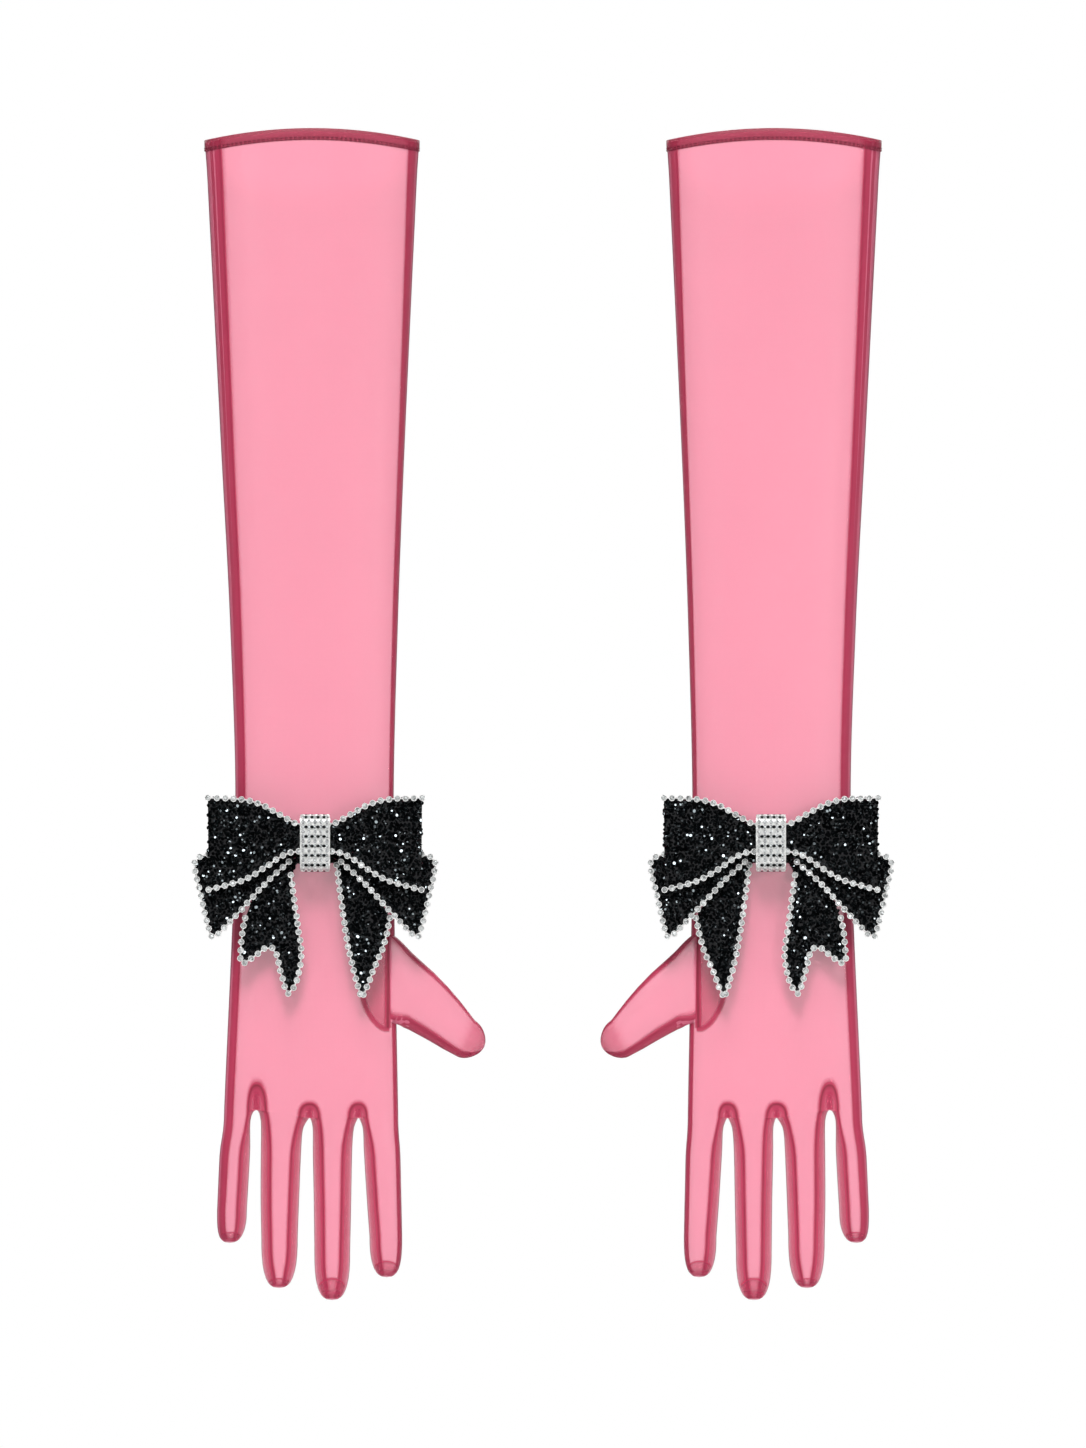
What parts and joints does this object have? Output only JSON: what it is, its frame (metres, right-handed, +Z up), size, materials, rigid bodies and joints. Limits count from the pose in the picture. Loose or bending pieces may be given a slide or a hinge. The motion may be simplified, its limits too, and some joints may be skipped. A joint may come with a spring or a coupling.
{
  "type": "opera gloves",
  "caption": "Pair of long sheer opera gloves, hanging cuffs up, with a stone-covered bow on the back of each wrist.",
  "frame": {"origin": "midway between the two gloves, level with the crown of their cuffs, where the wearer's arms hold them", "axes": "+Z up, from the fingertips to the cuffs; -Y the way the backs of the hands and the bows face; +X from the right-hand glove to the left-hand glove"},
  "size_m": [0.3506, 0.0485, 0.586],
  "materials": {
    "sheer_fabric": "sheer pink stretch net with a soft sheen",
    "hem_fabric": "the same net folded over and stitched",
    "black_felt": "black felt",
    "black_stones": "close-set black faceted stones",
    "crystal_stones": "clear round stones in silver cups"
  },
  "bodies": {
    "right_upper": {"right_cuff_hem": "hem_fabric", "right_upper_sleeve": "sheer_fabric"},
    "right_forearm": {"right_forearm_sleeve": "sheer_fabric", "right_bow_felt": "black_felt", "right_bow_knot": "crystal_stones", "right_bow_lower_chain_inner": "crystal_stones", "right_bow_lower_chain_outer": "crystal_stones", "right_bow_lower_loop_inner": "black_stones", "right_bow_lower_loop_outer": "black_stones", "right_bow_tail_chain_inner": "crystal_stones", "right_bow_tail_chain_outer": "crystal_stones", "right_bow_tail_inner": "black_stones", "right_bow_tail_outer": "black_stones", "right_bow_upper_chain_bottom": "crystal_stones", "right_bow_upper_chain_top": "crystal_stones", "right_bow_upper_loop_inner": "black_stones", "right_bow_upper_loop_outer": "black_stones"},
    "right_hand": {"right_hand_back": "sheer_fabric", "right_hand_palm": "sheer_fabric"},
    "right_thumb": {"right_thumb": "sheer_fabric"},
    "right_index": {"right_index_finger": "sheer_fabric", "right_index_fourchette_outer": "sheer_fabric"},
    "right_middle": {"right_middle_finger": "sheer_fabric", "right_middle_fourchette_inner": "sheer_fabric", "right_middle_fourchette_outer": "sheer_fabric"},
    "right_ring": {"right_ring_finger": "sheer_fabric", "right_ring_fourchette_inner": "sheer_fabric", "right_ring_fourchette_outer": "sheer_fabric"},
    "right_little": {"right_little_finger": "sheer_fabric", "right_little_fourchette_inner": "sheer_fabric"},
    "left_upper": {"left_cuff_hem": "hem_fabric", "left_upper_sleeve": "sheer_fabric"},
    "left_forearm": {"left_forearm_sleeve": "sheer_fabric", "left_bow_felt": "black_felt", "left_bow_knot": "crystal_stones", "left_bow_lower_chain_inner": "crystal_stones", "left_bow_lower_chain_outer": "crystal_stones", "left_bow_lower_loop_inner": "black_stones", "left_bow_lower_loop_outer": "black_stones", "left_bow_tail_chain_inner": "crystal_stones", "left_bow_tail_chain_outer": "crystal_stones", "left_bow_tail_inner": "black_stones", "left_bow_tail_outer": "black_stones", "left_bow_upper_chain_bottom": "crystal_stones", "left_bow_upper_chain_top": "crystal_stones", "left_bow_upper_loop_inner": "black_stones", "left_bow_upper_loop_outer": "black_stones"},
    "left_hand": {"left_hand_back": "sheer_fabric", "left_hand_palm": "sheer_fabric"},
    "left_thumb": {"left_thumb": "sheer_fabric"},
    "left_index": {"left_index_finger": "sheer_fabric", "left_index_fourchette_outer": "sheer_fabric"},
    "left_middle": {"left_middle_finger": "sheer_fabric", "left_middle_fourchette_inner": "sheer_fabric", "left_middle_fourchette_outer": "sheer_fabric"},
    "left_ring": {"left_ring_finger": "sheer_fabric", "left_ring_fourchette_inner": "sheer_fabric", "left_ring_fourchette_outer": "sheer_fabric"},
    "left_little": {"left_little_finger": "sheer_fabric", "left_little_fourchette_inner": "sheer_fabric"}
  },
  "joints": [
    {"name": "right_elbow", "type": "hinge", "parent": "right_upper", "child": "right_forearm", "pos_m": [-0.1151, -0.016, -0.16], "axis": [-1, 0, 0], "range_deg": [0, 120]},
    {"name": "right_wrist", "type": "hinge", "parent": "right_forearm", "child": "right_hand", "pos_m": [-0.1145, 0.0111, -0.386], "axis": [1, 0, 0], "range_deg": [0, 70]},
    {"name": "right_thumb_base", "type": "hinge", "parent": "right_hand", "child": "right_thumb", "pos_m": [-0.0809, 0.007, -0.4255], "axis": [0, 0, 1], "range_deg": [0, 70]},
    {"name": "right_index_knuckle", "type": "hinge", "parent": "right_hand", "child": "right_index", "pos_m": [-0.0817, 0.0065, -0.497], "axis": [0.9987, 0, 0.0506], "range_deg": [0, 80]},
    {"name": "right_middle_knuckle", "type": "hinge", "parent": "right_hand", "child": "right_middle", "pos_m": [-0.10545, 0.00675, -0.497], "axis": [1, 0, -0.007], "range_deg": [0, 80]},
    {"name": "right_ring_knuckle", "type": "hinge", "parent": "right_hand", "child": "right_ring", "pos_m": [-0.1302, 0.0065, -0.497], "axis": [0.9997, 0, -0.0227], "range_deg": [0, 80]},
    {"name": "right_little_knuckle", "type": "hinge", "parent": "right_hand", "child": "right_little", "pos_m": [-0.15225, 0.006, -0.497], "axis": [0.9971, 0, -0.0767], "range_deg": [0, 80]},
    {"name": "pair_spacing", "type": "slide", "parent": "right_upper", "child": "left_upper", "axis": [1, 0, 0], "range_m": [-0.04, 0.15]},
    {"name": "left_elbow", "type": "hinge", "parent": "left_upper", "child": "left_forearm", "pos_m": [0.1151, -0.016, -0.16], "axis": [-1, 0, 0], "range_deg": [0, 120]},
    {"name": "left_wrist", "type": "hinge", "parent": "left_forearm", "child": "left_hand", "pos_m": [0.1145, 0.0111, -0.386], "axis": [1, 0, 0], "range_deg": [0, 70]},
    {"name": "left_thumb_base", "type": "hinge", "parent": "left_hand", "child": "left_thumb", "pos_m": [0.0809, 0.007, -0.4255], "axis": [0, 0, -1], "range_deg": [0, 70]},
    {"name": "left_index_knuckle", "type": "hinge", "parent": "left_hand", "child": "left_index", "pos_m": [0.0817, 0.0065, -0.497], "axis": [0.9987, 0, -0.0506], "range_deg": [0, 80]},
    {"name": "left_middle_knuckle", "type": "hinge", "parent": "left_hand", "child": "left_middle", "pos_m": [0.10545, 0.00675, -0.497], "axis": [1, 0, 0.007], "range_deg": [0, 80]},
    {"name": "left_ring_knuckle", "type": "hinge", "parent": "left_hand", "child": "left_ring", "pos_m": [0.1302, 0.0065, -0.497], "axis": [0.9997, 0, 0.0227], "range_deg": [0, 80]},
    {"name": "left_little_knuckle", "type": "hinge", "parent": "left_hand", "child": "left_little", "pos_m": [0.15225, 0.006, -0.497], "axis": [0.9971, 0, 0.0767], "range_deg": [0, 80]}
  ]
}
